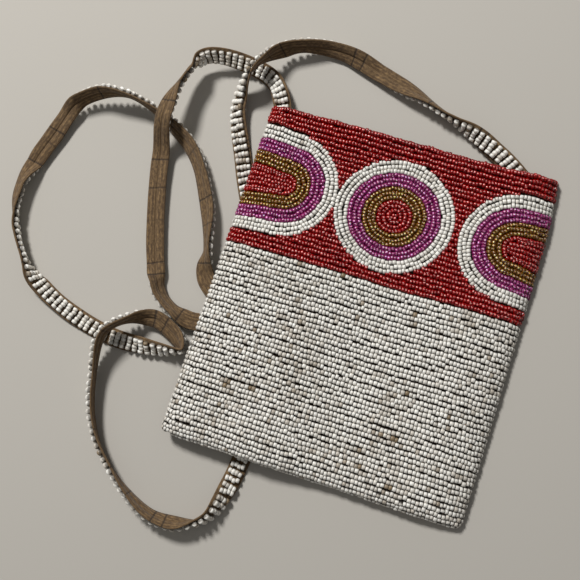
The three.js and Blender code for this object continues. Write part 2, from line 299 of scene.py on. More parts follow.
class BagColours(bpy.types.PropertyGroup):
    """Colours of the glass, the cloth and the floor."""

    white: colour("White glass", "Clean opaque white beads", "#F4F0E7")
    # The stain colour also browns the painted shade on the white beads' lower sides and ends
    stain: colour("Stain", "Handled and dusty white beads", "#8E7B60")
    red: colour("Red glass", "Body of the red beads", "#860505")
    # These pale colours paint a highlight on top of each coloured bead: the silver lining where it
    # glints
    red_lining_glint: colour("Red lining", "Silver lining seen through red glass", "#FF9C94")
    magenta: colour("Magenta glass", "Body of the magenta beads", "#862C62")
    magenta_lining_glint: colour("Magenta lining", "Lining seen through magenta glass", "#FFC0E8")
    gold: colour("Amber glass", "Body of the amber beads", "#68420E")
    gold_lining_glint: colour("Amber lining", "Lining seen through amber glass", "#FFE0A0")
    tape: colour("Cotton tape", "Brown tape of the strap", "#503C26")
    tape_rub: colour("Tape rub", "Pale rubbed threads of the tape", "#957850")
    # Painted shade in the tape's creases; the woven cloth also uses it as the darker tone of its worn
    # dye
    crease_shade_and_worn_dye: colour("Tape shade", "Folds across the tape", "#2C2015")
    cloth: colour("Cotton cloth", "Brown cloth of the panels", "#4A3626")
    floor: colour("Floor", "Plain pale surface", "#BDB8AF")


def sizes():
    """The sizes in the scene."""
    return bpy.context.scene.bag_sizes


def colours():
    """The colours in the scene."""
    return bpy.context.scene.bag_colours


# Form of the pouch


def within(value, low=0.0, high=1.0):
    """A value kept between two limits."""
    return min(max(value, low), high)


def ease(share):
    """A share from 0 to 1 that starts and ends gently."""
    share = within(share)
    return share * share * (3 - 2 * share)


def hump(distance, reach):
    """A smooth hump: 1 in its middle, and nearly 0 at twice its reach."""
    return math.exp(-((distance / reach) ** 2))


def distances(points):
    """How far along a line each of its points lies."""
    reach = [0.0]
    for before, after in zip(points, points[1:]):
        reach.append(reach[-1] + (after - before).length)
    return reach


def half_width(y):
    """Half the pouch's width over the beads, with round corners at the closed end."""
    share = within((y - FOOT_Y) / (MOUTH_Y - FOOT_Y))
    straight = FOOT_HALF_WIDTH + (MOUTH_HALF_WIDTH - FOOT_HALF_WIDTH) * share
    radius = sizes().corner
    into_corner = radius - within(y - FOOT_Y, 0.0, radius)
    return straight - (radius - math.sqrt(radius**2 - into_corner**2))


def cloth_edge(y):
    """Half the width of the front cloth, whose edge beads stand out by their diameter."""
    return half_width(y) - sizes().bead_diameter


def drawn(point):
    """Where a point of the squared pouch lies on the soft one, which is drawn a little out of square."""
    size = sizes()
    across = point.x / FOOT_HALF_WIDTH
    up = (point.y - FOOT_Y) / (MOUTH_Y - FOOT_Y)
    in_top_fifth = within(5 * up - 4)
    in_top_tenth = ease(10 * up - 9)
    in_outer_third = ease(3 * abs(across) - 2)
    in_left_third = ease(-3 * across - 2)
    tuck = size.tucked_corner * max(across, 0.0) ** 2 * in_top_fifth**2
    bumps = sum(rise * hump(point.x / MM - x, HEM_BUMP_REACH) for x, rise in HEM_BUMPS)
    rise = (size.mouth_rise - size.mouth_tilt * across + bumps * MM) * in_top_tenth
    from_motif = point.y - BAND_MIDDLE
    parted = within(abs(from_motif) / (LEGS_PART_OVER * MM))
    closed = ease((abs(from_motif) - LEGS_CLOSE_FROM * MM) / (LEGS_CLOSE_OVER * MM))
    spread = math.copysign(parted * (1 - closed) * size.leg_spread, from_motif) * in_outer_third
    lift = size.arch_lift * hump(from_motif / MM - ARCH_LIFT_PLACE, ARCH_LIFT_REACH) * in_left_third
    return point + Vector((size.askew * (2 * up - 1) - tuck, rise + spread + lift, 0.0))


def cloth_foot():
    """The front cloth's fold at the closed end."""
    return FOOT_Y + sizes().bead_diameter


def underside(x):
    """Height of the pouch's underside, which lies on the strap at its left."""
    size = sizes()
    return size.lift * ease((size.lift_foot - x) / (size.lift_foot - size.lift_head))


def roll_over(from_edge, roll):
    """A rolled edge: 0 at the edge, first steep and then gentle, up to 1 where the roll ends."""
    return math.sqrt(1 - (1 - within(from_edge / roll)) ** 3)


def front(x, y):
    """Height of the front cloth, whose right edge settles nearer to the surface."""
    size = sizes()
    settled = size.settle * ease((x - SETTLES_FROM * MM) / (SETTLES_OVER * MM))
    side = roll_over(cloth_edge(y) - abs(x), size.side_roll)
    foot = roll_over(y - cloth_foot(), size.foot_roll)
    uneven = size.sag * noise.noise(Vector((x, y, 0.0)) / (SAG_LENGTH * MM))
    return underside(x) + size.rim - settled + (size.crown + uneven) * side * foot


def seat(x, y, height):
    """The point at a height over the front cloth, and the way that the cloth faces there."""
    step = 0.05 * MM
    slope_x = (front(x + step, y) - front(x - step, y)) / (2 * step)
    slope_y = (front(x, y + step) - front(x, y - step)) / (2 * step)
    facing = Vector((-slope_x, -slope_y, 1.0)).normalized()
    return drawn(Vector((x, y, front(x, y))) + height * facing), facing


def motif_round(name):
    """A motif's middle and radius, from the box of its outer rings. The centre one is a little off."""
    low, high = (Vector(corner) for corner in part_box(name + "_motif_white"))
    radius = (high.y - low.y) / 2
    middle = (low + high) / 2
    if MOTIFS[name] < 0:
        middle.x = high.x - radius
    if MOTIFS[name] > 0:
        middle.x = low.x + radius
    if MOTIFS[name] == 0:
        middle += CENTRE_SHIFT
    return middle.x, middle.y, radius


# Strings of beads. A string's middle line is a list of points, each with the way that the cloth faces.


def over_side(y, side):
    """The stretch of a string that goes over the pouch's side, from the front down to its last bead."""
    radius = sizes().bead_diameter / 2
    outward = Vector((side, 0.0, 0.0))
    x = side * cloth_edge(y)
    top = front(x, y)
    down = min(SIDE_DROP * MM, top - underside(x) - SIDE_ROOM * radius)
    steps = 4
    drops = [down * i / steps for i in range(steps + 1)]
    return [(drawn(Vector((x + side * radius, y, top - drop))), outward) for drop in drops]


def row_stray(x, y):
    """How far a straight row strays from its line at a place, together with its neighbours and alone."""
    together = noise.noise(Vector((x / (ROW_DRIFT[0] * MM), y / (ROW_DRIFT[1] * MM), 9.0)))
    alone = noise.noise(Vector((x / (ROW_STRAY[0] * MM), y / (ROW_STRAY[1] * MM), 3.0)))
    return together + ROW_STRAY_SHARE * alone


def across_front(y, start=None, end=None, wave=0.0):
    """Middle line of a string laid across the front. With no start or end it goes over that side."""
    radius = sizes().bead_diameter / 2
    edge = cloth_edge(y)
    low = -edge if start is None else start
    high = edge if end is None else end
    samples = 60
    across = [math.sin(math.pi * (i / samples - 0.5)) for i in range(samples + 1)]
    inside = [edge * share for share in across]
    line = []
    for x in (low, *(x for x in inside if low < x < high), high):
        line.append(seat(x, y + wave * row_stray(x, y), radius))
    if start is None:
        line = over_side(y, -1)[::-1] + line[1:]
    if end is None:
        line = line[:-1] + over_side(y, 1)
    return line


def ring(x, y, radius, first=0.0, last=360.0, squash=1.0):
    """Middle line of a string on an arc round x and y, between two angles in degrees, flatter in y."""
    size = sizes()
    fewest, degrees_apart = 12, 5
    samples = max(fewest, round(abs(last - first) / degrees_apart))
    layer = Vector((0.0, 0.0, radius / MM))
    line = []
    for i in range(samples + 1):
        angle = math.radians(first + (last - first) * i / samples)
        way = Vector((math.cos(angle), squash * math.sin(angle), 0.0))
        waver = noise.noise(way * radius / (RING_STRAY * MM) + layer)
        reach = radius + RING_STRAY_SHARE * size.row_wave * waver
        line.append(seat(x + reach * way.x, y + reach * way.y, size.bead_diameter / 2))
    return line


def arch(side, x, y, radius):
    """Middle line of a string that comes in over one side, turns round x and y and goes back."""
    if side < 0:
        upper = across_front(y + radius, None, x)
        lower = across_front(y - radius, None, x)
        return upper[:-1] + ring(x, y, radius, 90, -90) + lower[::-1][1:]
    upper = across_front(y + radius, x, None)
    lower = across_front(y - radius, x, None)
    return upper[::-1][:-1] + ring(x, y, radius, 90, 270) + lower[1:]


def string_beads(line, finish, draw, diameter=None):
    """Places of the beads of a finish threaded along a middle line, each a little uneven."""
    size = sizes()
    pitch = size.white_pitch if finish == "white" else size.lined_pitch
    diameter = diameter or (size.bead_diameter if finish == "white" else size.lined_diameter)
    points = [point for point, facing in line]
    facings = [facing for point, facing in line]
    reach = distances(points)
    count = max(1, round(reach[-1] / pitch))
    shares = [draw.uniform(*SPACING_SHARES) for i in range(count)]
    spacings = [reach[-1] * share / sum(shares) for share in shares]

    def at(distance):
        distance = within(distance, 0.0, reach[-1])
        i = 1
        while reach[i] < distance and i < len(reach) - 1:
            i += 1
        share = (distance - reach[i - 1]) / max(reach[i] - reach[i - 1], 1e-9)
        return points[i - 1].lerp(points[i], share), facings[i - 1].lerp(facings[i], share)

    beads = []
    begin = 0.0
    for spacing in spacings:
        point, facing = at(begin + spacing / 2)
        along = at(begin + spacing)[0] - at(begin)[0]
        beads.append(bead_place(point, along, facing, (spacing, diameter), draw))
        begin += spacing
    return beads


def bead_place(point, along, facing, extent, draw):
    """One bead's place, of a length and diameter: its hole along the thread, its top off the cloth."""
    side = facing.cross(along).normalized()
    along = (along.normalized() + draw.gauss(0, BEAD_TILT) * side).normalized()
    facing = along.cross(side).normalized()
    side = facing.cross(along)
    spacing, diameter = extent
    diameter *= draw.uniform(*DIAMETER_SHARES)
    stray = side * draw.gauss(0, SIDE_STRAY) + facing * draw.gauss(0, HEIGHT_STRAY)
    turn = Matrix((along, side, facing)).transposed().to_4x4()
    roll = Matrix.Rotation(draw.gauss(0, BEAD_ROLL), 4, "X")
    scale = Matrix.Diagonal((spacing * draw.uniform(*LENGTH_SHARES), diameter, diameter, 1.0))
    return Matrix.Translation(point + stray * MM) @ turn @ roll @ scale


def blank_bead():
    """A bead of unit length and diameter along X, dimpled where its thread goes in.

    Its glass attribute has in green how far a point faces up, and in alpha its place along the bead.
    """
    half = 0.5
    profile = ((-0.44, 0), (-half, 0.34), (-0.37, half), (0.37, half), (half, 0.34), (0.44, 0))
    shape = bmesh.new()
    corners = [shape.verts.new((x, 0.0, radius)) for x, radius in profile]
    edges = [shape.edges.new(pair) for pair in zip(corners, corners[1:])]
    bmesh.ops.spin(
        shape,
        geom=corners + edges,
        cent=(0, 0, 0),
        axis=(1, 0, 0),
        angle=2 * math.pi,
        steps=8,
        use_merge=True,
    )
    bmesh.ops.remove_doubles(shape, verts=shape.verts, dist=1e-4)
    bmesh.ops.recalc_face_normals(shape, faces=shape.faces)
    glass = shape.verts.layers.float_color.new("glass")
    for vert in shape.verts:
        vert[glass] = (0.0, max(vert.co.z, 0.0) / half, 0.0, vert.co.x + half)
    for face in shape.faces:
        face.smooth = True
    return finished_mesh("bead_blank", shape)


def stain_at(spot, handled, draw):
    """How brown a white bead is at a place: in patches, in blots and by itself, more where handled."""
    apart = Vector((0.0, 0.0, 40.0))
    small_patch = SMALL_PATCH_SHARE * noise.noise(spot / (SMALL_PATCH_LENGTH * MM))
    patch = noise.noise(spot / (PATCH_LENGTH * MM)) + small_patch
    blot = max(noise.noise(spot / (BLOT_LENGTH * MM) + apart) - BLOT_START, 0.0)
    own = draw.gauss(0.0, BEAD_STAIN)
    return within(handled * (PATCH_STRENGTH * patch + own + BLOT_STRENGTH * blot))


def bead_piece(name, places, finish, draw, handled=1.0, painted_shade_share=1.0):
    """One piece of many beads.

    Its glass attribute has each bead's random tone in red, and in blue the stain of a white bead or the
    strength of the painted glint of a lined one. Beads given less painted shade are darkened less at
    their ends and lower on their sides.
    """
    blank = blank_bead()
    count = len(blank.vertices)
    shape = bmesh.new()
    glass = shape.verts.layers.float_color.new("glass")
    for place in places:
        shape.from_mesh(blank)
        shape.verts.ensure_lookup_table()
        shade = draw.random()
        glint = draw.random()
        stain = stain_at(place.translation, handled, draw)
        # Blue holds the stain of a white bead; for a lined bead, the strength of its painted glint
        own = stain if finish == "white" else glint
        for vert in shape.verts[-count:]:
            vert.co = place @ vert.co
            # Green and alpha carry the painted shade of white beads, low on their sides and at their
            # ends; green also places the painted glint of lined beads
            facing_up = 1 - painted_shade_share * (1 - vert[glass][1])
            place_along = 0.5 + painted_shade_share * (vert[glass][3] - 0.5)
            vert[glass] = (shade, facing_up, own, place_along)
    bpy.data.meshes.remove(blank)
    piece = add_piece(name, shape, finish)
    return piece


# Pieces


def finished_mesh(name, shape):
    """Makes a finished shape a mesh."""
    mesh = bpy.data.meshes.new(name)
    shape.to_mesh(mesh)
    shape.free()
    return mesh


def add_object(name, data):
    """Adds an object to the scene."""
    made = bpy.data.objects.new(name, data)
    bpy.context.scene.collection.objects.link(made)
    return made


def add_piece(name, shape, finish):
    """Makes a shape an object at the origin that rides on the bag."""
    mesh = finished_mesh(name, shape)
    mesh.materials.append(material_for(finish))
    piece = add_object(name, mesh)
    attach(piece, "root")
    return piece


# Strap


def route_point(points, span, share):
    """A point of the centripetal curve through the route, which runs straight on at its ends."""
    chain = [2 * points[0] - points[1], *points, 2 * points[-1] - points[-2]]
    before, start, end, after = chain[span : span + 4]
    d0 = math.sqrt((start - before).length)
    d1 = math.sqrt((end - start).length)
    d2 = math.sqrt((after - end).length)
    leave = ((start - before) / d0 - (end - before) / (d0 + d1) + (end - start) / d1) * d1
    arrive = ((end - start) / d1 - (after - start) / (d1 + d2) + (after - end) / d2) * d1
    square = share * share
    return (
        start
        + leave * share
        + (3 * (end - start) - 2 * leave - arrive) * square
        + (2 * (start - end) + leave + arrive) * square * share
    )


def further_turn(place):
    """The soft tape's further roll in degrees and rise in millimetres at a place along the route."""
    roll, rise = 0.0, 0.0
    for middle, reach, degrees, height in TAPE_TURNS:
        share = hump(place - middle, reach)
        roll += degrees * share
        rise += height * share
    return roll, rise


def strap_frames():
    """Along the strap: the middle of its thickness, and the ways along, across and out of its beads."""
    size = sizes()
    plan = [Vector((x, y, 0.0)) * MM for x, y, roll, height in STRAP_ROUTE]
    up = Vector((0.0, 0.0, 1.0))
    step = 0.001
    frames = []
    for i in range((len(plan) - 1) * STEPS_PER_SPAN + 1):
        span = min(i // STEPS_PER_SPAN, len(plan) - 2)
        share = i / STEPS_PER_SPAN - span
        start, end = STRAP_ROUTE[span], STRAP_ROUTE[span + 1]
        turn, rise = further_turn(span + share)
        roll = math.radians(start[2] + (end[2] - start[2]) * ease(share) + turn)
        lowest = (start[3] + (end[3] - start[3]) * ease(share) + rise) * MM
        point = route_point(plan, span, share)
        point.z = (
            lowest
            + abs(math.cos(roll)) * size.strap_thickness / 2
            + abs(math.sin(roll)) * size.tape_width / 2
        )
        ahead = route_point(plan, span, min(share + step, 1.0))
        behind = route_point(plan, span, max(share - step, 0.0))
        along = (ahead - behind).normalized()
        facing = math.cos(roll) * up + math.sin(roll) * up.cross(along)
        frames.append((point, along, facing.cross(along), facing))
    return frames


def tape_corner(where, frame_here, corner):
    """A corner of the tape's section, with the waves of soft cloth, at a distance along the strap."""
    centre, along, across, facing = frame_here
    x, y = corner
    widen = 1 + TAPE_WIDTH_SHARE * noise.noise(Vector((where / (TAPE_WIDTH_WAVE * MM), 0.0, 0.0)))
    spot = Vector((where / (TAPE_RIPPLE[0] * MM), x / (TAPE_RIPPLE[1] * MM), 5.0))
    ripple = TAPE_RIPPLE_HEIGHT * MM * noise.noise(spot)
    return centre + across * x * widen + facing * (y + ripple)


# Materials


def add_node(tree, kind, inputs=(), **settings):
    """Adds a node with its settings, and its inputs set to values or linked to other nodes' outputs."""
    made = tree.nodes.new(kind)
    for name, value in settings.items():
        setattr(made, name, value)
    for socket, value in dict(inputs).items():
        if isinstance(value, bpy.types.NodeSocket):
            tree.links.new(value, made.inputs[socket])
        else:
            made.inputs[socket].default_value = value
    return made


def new_material(name):
    """A material with an empty node tree."""
    material = bpy.data.materials.new(name)
    material.use_nodes = True
    material.node_tree.nodes.clear()
    return material, material.node_tree


def read_glass(tree):
    """The parts of the beads' glass attribute, and how far a point is from the middle of its bead.

    Along the thread, that is 0 in the middle and 0.5 at the ends.
    """
    glass = add_node(tree, "ShaderNodeAttribute", attribute_name="glass")
    parts = add_node(tree, "ShaderNodeSeparateColor", {"Color": glass.outputs["Color"]})
    from_middle = add_node(
        tree,
        "ShaderNodeMath",
        {0: glass.outputs["Alpha"], 1: 0.5},
        operation="SUBTRACT",
    )
    distance = add_node(
        tree,
        "ShaderNodeMath",
        {0: from_middle.outputs["Value"]},
        operation="ABSOLUTE",
    )
    return parts, distance


def opaque_white_glass(name):
    """Opaque white glass in short cut lengths: milky with a soft gloss, dulled brown where it was
    handled, and with painted shade low on its sides and at its ends, which the stain colour browns."""
    material, tree = new_material(name)
    parts, distance = read_glass(tree)
    shade = add_node(
        tree,
        "ShaderNodeMapRange",
        {"Value": parts.outputs["Red"], "To Min": 0.85, "To Max": 1.04},
    )
    # Painted shade: darker low on each bead's sides, between the rows, and at its ends, where beads meet
    low_side_shade = add_node(
        tree,
        "ShaderNodeMapRange",
        {"Value": parts.outputs["Green"], "From Max": 0.56, "To Min": 0.14},
    )
    end_shade = add_node(
        tree,
        "ShaderNodeMapRange",
        {"Value": distance.outputs["Value"], "From Min": 0.5, "From Max": 0.37, "To Min": 0.35},
    )
    unshaded = add_node(
        tree,
        "ShaderNodeMath",
        {0: low_side_shade.outputs["Result"], 1: end_shade.outputs["Result"]},
        operation="MULTIPLY",
    )
    # Each bead's random tone, times the painted shade
    tone = add_node(
        tree,
        "ShaderNodeMath",
        {0: shade.outputs["Result"], 1: unshaded.outputs["Value"]},
        operation="MULTIPLY",
    )
    # Share of the stain colour: each bead's stain where there is no painted shade, rising to 0.8 where
    # the painted shade is deepest
    stain_and_shade_browning = add_node(
        tree,
        "ShaderNodeMapRange",
        {"Value": unshaded.outputs["Value"], "To Min": 0.8, "To Max": parts.outputs["Blue"]},
    )
    stained_and_shade_browned = add_node(
        tree,
        "ShaderNodeMix",
        {0: stain_and_shade_browning.outputs["Result"], 6: colours().white, 7: colours().stain},
        data_type="RGBA",
    )
    shaded = add_node(
        tree,
        "ShaderNodeVectorMath",
        {0: stained_and_shade_browned.outputs[2], "Scale": tone.outputs["Value"]},
        operation="SCALE",
    )
    shader = add_node(
        tree,
        "ShaderNodeBsdfPrincipled",
        {
            "Base Color": shaded.outputs["Vector"],
            "Roughness": 0.4,
            "IOR": 1.5,
            "Subsurface Weight": 0.35,
            "Subsurface Radius": (1.0, 0.95, 0.9),
            "Subsurface Scale": 0.7 * MM,
        },
    )
    add_node(tree, "ShaderNodeOutputMaterial", {"Surface": shader.outputs["BSDF"]})
    return material


def silver_lined_glass(name, body, lining_glint):
    """Clear coloured glass with a silvered hole: a deep body, and a painted highlight in each bead, a
    pale glint of the lining on its top."""
    material, tree = new_material(name)
    parts, distance = read_glass(tree)
    shade = add_node(
        tree,
        "ShaderNodeMapRange",
        {"Value": parts.outputs["Red"], "To Min": 0.75, "To Max": 1.2},
    )
    deep = add_node(
        tree,
        "ShaderNodeVectorMath",
        {0: body[:3], "Scale": shade.outputs["Result"]},
        operation="SCALE",
    )
    # Painted highlight: a pale spot of the lining colour on top of each bead, in its middle, stronger in
    # some beads than in others
    on_top = add_node(
        tree,
        "ShaderNodeMapRange",
        {"Value": parts.outputs["Green"], "From Min": 0.85, "From Max": 0.97},
    )
    in_middle = add_node(
        tree,
        "ShaderNodeMapRange",
        {"Value": distance.outputs["Value"], "From Min": 0.34, "From Max": 0.12},
    )
    spot = add_node(
        tree,
        "ShaderNodeMath",
        {0: on_top.outputs["Result"], 1: in_middle.outputs["Result"]},
        operation="MULTIPLY",
    )
    strength = add_node(
        tree,
        "ShaderNodeMapRange",
        {"Value": parts.outputs["Blue"], "To Min": 0.15, "To Max": 1.2},
    )
    glint = add_node(
        tree,
        "ShaderNodeMath",
        {0: spot.outputs["Value"], 1: strength.outputs["Result"]},
        operation="MULTIPLY",
    )
    glinting = add_node(
        tree,
        "ShaderNodeMix",
        {0: glint.outputs["Value"], 6: deep.outputs["Vector"], 7: lining_glint},
        data_type="RGBA",
    )
    shader = add_node(
        tree,
        "ShaderNodeBsdfPrincipled",
        {
            "Base Color": glinting.outputs[2],
            "Roughness": 0.2,
            "IOR": 1.52,
            "Subsurface Weight": 0.85,
            "Subsurface Radius": [channel / max(body[:3]) for channel in body[:3]],
            "Subsurface Scale": 1.2 * MM,
        },
    )
    add_node(tree, "ShaderNodeOutputMaterial", {"Surface": shader.outputs["BSDF"]})
    return material


def woven_cotton(name, body, shade):
    """Plain brown cotton, woven: matt, with fine threads both ways and uneven, worn dye."""
    thread = 0.55 * MM
    worn_patch = 9 * MM
    material, tree = new_material(name)
    where = add_node(tree, "ShaderNodeTexCoord")
    uneven = add_node(
        tree,
        "ShaderNodeTexNoise",
        {"Vector": where.outputs["Object"], "Scale": 1 / worn_patch, "Detail": 4.0},
    )
    dyed = add_node(
        tree,
        "ShaderNodeMix",
        {0: uneven.outputs["Fac"], 6: body, 7: shade},
        data_type="RGBA",
    )
    warp, weft = (
        add_node(
            tree,
            "ShaderNodeTexWave",
            {"Vector": where.outputs["Object"], "Scale": math.tau / (20 * thread), "Distortion": 0.8},
            bands_direction=direction,
        )
        for direction in ("X", "Y")
    )
    weave = add_node(
        tree,
        "ShaderNodeMath",
        {0: warp.outputs["Fac"], 1: weft.outputs["Fac"]},
        operation="MAXIMUM",
    )
    bump = add_node(
        tree,
        "ShaderNodeBump",
        {"Height": weave.outputs["Value"], "Strength": 0.5, "Distance": 0.1 * MM},
    )
    shader = add_node(
        tree,
        "ShaderNodeBsdfPrincipled",
        {
            "Base Color": dyed.outputs[2],
            "Normal": bump.outputs["Normal"],
            "Roughness": 0.95,
            "Sheen Weight": 0.1,
        },
    )
    add_node(tree, "ShaderNodeOutputMaterial", {"Surface": shader.outputs["BSDF"]})
    return material


def folded_tape(name, body, rub, shade):
    """Brown cotton tape, folded lengthwise: long fibres, pale rubbed threads, and creases across it,
    darkened with painted shade.

    The tape's UV map is in millimetres, round its section and along the strap, and so are the lengths
    here. Real fibres and threads are too fine to show, so these are drawn as coarse as they need to be.
    """
    fibre = 0.625
    thread = 1.1
    crease_spacing = 6
    creased_stretch = 14
    material, tree = new_material(name)
    uv = add_node(tree, "ShaderNodeUVMap", uv_map="tape")
    drawn_out = add_node(
        tree,
        "ShaderNodeMapping",
        {"Vector": uv.outputs["UV"], "Scale": (1.0, 0.28, 1.0)},
    )
    fibres = add_node(
        tree,
        "ShaderNodeTexNoise",
        {"Vector": drawn_out.outputs["Vector"], "Scale": 1 / fibre, "Detail": 5.0, "Roughness": 0.7},
    )
    threads = add_node(
        tree,
        "ShaderNodeTexWave",
        {"Vector": drawn_out.outputs["Vector"], "Scale": math.tau / (20 * thread), "Distortion": 3.0},
        bands_direction="X",
    )
    spun = add_node(
        tree,
        "ShaderNodeMix",
        {0: 0.1, 2: fibres.outputs["Fac"], 3: threads.outputs["Fac"]},
        data_type="FLOAT",
    )
    tone = add_node(
        tree,
        "ShaderNodeMapRange",
        {"Value": spun.outputs[0], "From Min": 0.43, "From Max": 0.75},
    )
    streaked = add_node(
        tree,
        "ShaderNodeMix",
        {0: tone.outputs["Result"], 6: body, 7: rub},
        data_type="RGBA",
    )
    parts = add_node(tree, "ShaderNodeSeparateXYZ", {"Vector": uv.outputs["UV"]})
    slanted = add_node(
        tree,
        "ShaderNodeMath",
        {0: parts.outputs["X"], 1: 0.06, 2: parts.outputs["Y"]},
        operation="MULTIPLY_ADD",
    )
    crease = add_node(
        tree,
        "ShaderNodeTexVoronoi",
        {"W": slanted.outputs["Value"], "Scale": 1 / crease_spacing},
        voronoi_dimensions="1D",
        feature="DISTANCE_TO_EDGE",
    )
    # Painted shade in the creases: each crease line darkens the tape towards the shade colour, along the
    # stretches where the creases crowd
    crowd = add_node(
        tree,
        "ShaderNodeTexNoise",
        {"W": parts.outputs["Y"], "Scale": 1 / creased_stretch},
        noise_dimensions="1D",
    )
    crease_shade_depth = add_node(
        tree,
        "ShaderNodeMapRange",
        {"Value": crowd.outputs["Fac"], "From Min": 0.5, "From Max": 0.58, "To Max": 0.95},
    )
    line = add_node(
        tree,
        "ShaderNodeMapRange",
        {
            "Value": crease.outputs["Distance"],
            "From Max": 0.11,
            "To Min": crease_shade_depth.outputs["Result"],
            "To Max": 0.0,
        },
    )
    crease_shaded = add_node(
        tree,
        "ShaderNodeMix",
        {0: line.outputs["Result"], 6: streaked.outputs[2], 7: shade},
        data_type="RGBA",
    )
    relief = add_node(
        tree,
        "ShaderNodeMath",
        {0: spun.outputs[0], 1: line.outputs["Result"]},
        operation="SUBTRACT",
    )
    bump = add_node(
        tree,
        "ShaderNodeBump",
        {"Height": relief.outputs["Value"], "Strength": 0.6, "Distance": 0.3 * MM},
    )
    shader = add_node(
        tree,
        "ShaderNodeBsdfPrincipled",
        {
            "Base Color": crease_shaded.outputs[2],
            "Normal": bump.outputs["Normal"],
            "Roughness": 0.9,
            "Sheen Weight": 0.1,
        },
    )
    add_node(tree, "ShaderNodeOutputMaterial", {"Surface": shader.outputs["BSDF"]})
    return material


def material_for(finish):
    """The bag's material of that finish, made the first time that it is asked for."""
    hue = colours()
    makers = {
        "white": ("opaque_white_glass", opaque_white_glass, ()),
        "red": ("silver_lined_red_glass", silver_lined_glass, (hue.red, hue.red_lining_glint)),
        "magenta": ("silver_lined_magenta_glass", silver_lined_glass, (hue.magenta, hue.magenta_lining_glint)),
        "gold": ("silver_lined_amber_glass", silver_lined_glass, (hue.gold, hue.gold_lining_glint)),
        "tape": ("folded_cotton_tape", folded_tape, (hue.tape, hue.tape_rub, hue.crease_shade_and_worn_dye)),
        "cloth": ("woven_cotton", woven_cotton, (hue.cloth, hue.crease_shade_and_worn_dye)),
    }
    name, make, values = makers[finish]
    return bpy.data.materials.get(name) or make(name, *values)


# Operators


class BAG_OT_stage(bpy.types.Operator):
    """Sets the camera, the soft light and the plain pale floor"""

    bl_idname = "bag.stage"
    bl_label = "Stage"

    def execute(self, context):
        scene = context.scene
        scene.view_settings.view_transform = "Standard"
        camera_data = bpy.data.cameras.new("photo_camera")
        camera_data.sensor_width = SENSOR
        camera_data.lens = SENSOR * FOCAL_PIXELS / PICTURE_PIXELS
        camera = add_object("photo_camera", camera_data)
        ahead = Vector(CAMERA_AHEAD).normalized()
        right = ahead.cross(Vector(CAMERA_UP)).normalized()
        turn = Matrix((right, right.cross(ahead), -ahead)).transposed().to_4x4()
        camera.matrix_world = Matrix.Translation(CAMERA_PLACE) @ turn
        scene.camera = camera

        shape = bmesh.new()
        bmesh.ops.create_grid(shape, x_segments=1, y_segments=1, size=3.0)
        mesh = finished_mesh("floor", shape)
        floor = add_object("floor", mesh)
        material, tree = new_material("plain_floor")
        shader = add_node(
            tree,
            "ShaderNodeBsdfPrincipled",
            {"Base Color": colours().floor, "Roughness": 0.9, "Specular IOR Level": 0.1},
        )
        add_node(tree, "ShaderNodeOutputMaterial", {"Surface": shader.outputs["BSDF"]})
        mesh.materials.append(material)

        world = bpy.data.worlds.new("soft_room")
        scene.world = world
        world.use_nodes = True
        background = world.node_tree.nodes["Background"]
        background.inputs["Color"].default_value = (1.0, 1.0, 1.0, 1.0)
        background.inputs["Strength"].default_value = 0.18

        window_data = bpy.data.lights.new("window", "AREA")
        window_data.shape = "DISK"
        window_data.size = 0.3
        window_data.energy = 22.0
        window = add_object("window", window_data)
        window.location = WINDOW_PLACE
        window.rotation_euler = (-window.location).to_track_quat("-Z", "Y").to_euler()
        return {"FINISHED"}


